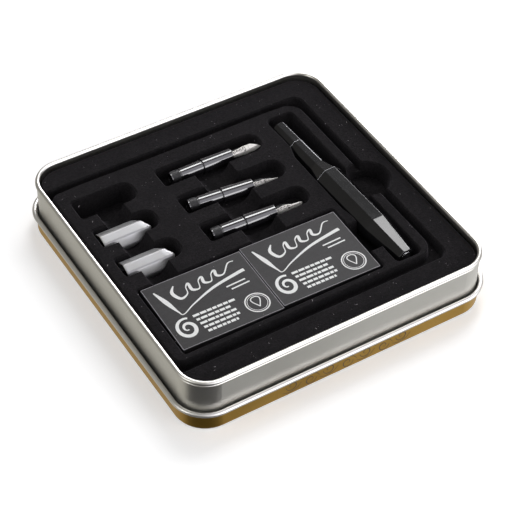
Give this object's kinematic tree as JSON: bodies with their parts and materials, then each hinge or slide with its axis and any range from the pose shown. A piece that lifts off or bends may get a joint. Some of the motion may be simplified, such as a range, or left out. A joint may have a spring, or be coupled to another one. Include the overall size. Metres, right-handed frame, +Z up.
{
  "type": "calligraphy set box",
  "caption": "Square tin standing in its own lid, with a flocked tray that holds a pen, spare nib units, clips and cartons of ink cartridges.",
  "frame": {"origin": "centre of the underside of the lid, on the table", "axes": "+Z up out of the open tin, +X along the front edge towards the pen, +Y away from the user"},
  "size_m": [0.1594, 0.1594, 0.0298],
  "materials": {
    "gold_lacquer": "satin gold lacquer on tinplate",
    "tinplate": "matt silver tinplate",
    "flock": "black flock on formed sheet",
    "pen_black": "black gloss",
    "liner_plastic": "matt black",
    "polished_steel": "polished",
    "grip_black": "black gloss",
    "feed_black": "matt black",
    "nib_steel": "polished steel",
    "clip_chrome": "polished",
    "carton_card": "printed card",
    "cartridge_plastic": "dark ink in plastic"
  },
  "bodies": {
    "lid": {"lid_shell": "gold_lacquer"},
    "base": {"base_shell": "tinplate"},
    "tray": {"insert_tray": "flock"},
    "pen_cap": {"pen_cap_shell": "pen_black", "pen_cap_liner": "liner_plastic", "pen_cap_finial": "polished_steel"},
    "pen_barrel_body": {"pen_barrel": "pen_black", "pen_barrel_end": "pen_black"},
    "pen_front": {"pen_section": "grip_black", "pen_feed": "feed_black", "pen_nib": "nib_steel"},
    "nib_unit_1": {"nib_unit_1_section": "grip_black", "nib_unit_1_feed": "feed_black", "nib_unit_1_nib": "nib_steel"},
    "nib_unit_2": {"nib_unit_2_section": "grip_black", "nib_unit_2_feed": "feed_black", "nib_unit_2_nib": "nib_steel"},
    "nib_unit_3": {"nib_unit_3_section": "grip_black", "nib_unit_3_feed": "feed_black", "nib_unit_3_nib": "nib_steel"},
    "clip_1_body": {"clip_1": "clip_chrome"},
    "clip_2_body": {"clip_2": "clip_chrome"},
    "carton_1_body": {"carton_1": "carton_card", "cartridge_1_1": "cartridge_plastic", "cartridge_1_2": "cartridge_plastic", "cartridge_1_3": "cartridge_plastic", "cartridge_1_4": "cartridge_plastic", "cartridge_1_5": "cartridge_plastic", "cartridge_1_6": "cartridge_plastic"},
    "carton_2_body": {"carton_2": "carton_card", "cartridge_2_1": "cartridge_plastic", "cartridge_2_2": "cartridge_plastic", "cartridge_2_3": "cartridge_plastic", "cartridge_2_4": "cartridge_plastic", "cartridge_2_5": "cartridge_plastic", "cartridge_2_6": "cartridge_plastic"}
  },
  "joints": [
    {"name": "base_lift", "type": "slide", "parent": "lid", "child": "base", "axis": [0, 0, 1], "range_m": [0, 0.04]},
    {"name": "tray_lift", "type": "slide", "parent": "base", "child": "tray", "axis": [0, 0, 1], "range_m": [0, 0.04]},
    {"name": "pen_lift", "type": "slide", "parent": "tray", "child": "pen_cap", "axis": [0, 0, 1], "range_m": [0, 0.03]},
    {"name": "barrel_unscrew", "type": "hinge", "parent": "pen_cap", "child": "pen_barrel_body", "pos_m": [0.04519, 0.00797, 0.02315], "axis": [-0.0297, 0.9996, 0], "range_deg": [0, 540]},
    {"name": "section_unscrew", "type": "hinge", "parent": "pen_barrel_body", "child": "pen_front", "pos_m": [0.04543, -0.00002, 0.02315], "axis": [0.0297, -0.9996, 0], "range_deg": [0, 1080]},
    {"name": "nib_unit_1_lift", "type": "slide", "parent": "tray", "child": "nib_unit_1", "axis": [0, 0, 1], "range_m": [0, 0.03]},
    {"name": "nib_unit_2_lift", "type": "slide", "parent": "tray", "child": "nib_unit_2", "axis": [0, 0, 1], "range_m": [0, 0.03]},
    {"name": "nib_unit_3_lift", "type": "slide", "parent": "tray", "child": "nib_unit_3", "axis": [0, 0, 1], "range_m": [0, 0.03]},
    {"name": "clip_1_lift", "type": "slide", "parent": "tray", "child": "clip_1_body", "axis": [0, 0, 1], "range_m": [0, 0.03]},
    {"name": "clip_2_lift", "type": "slide", "parent": "tray", "child": "clip_2_body", "axis": [0, 0, 1], "range_m": [0, 0.03]},
    {"name": "carton_1_lift", "type": "slide", "parent": "tray", "child": "carton_1_body", "axis": [0, 0, 1], "range_m": [0, 0.03]},
    {"name": "carton_2_lift", "type": "slide", "parent": "tray", "child": "carton_2_body", "axis": [0, 0, 1], "range_m": [0, 0.03]}
  ]
}
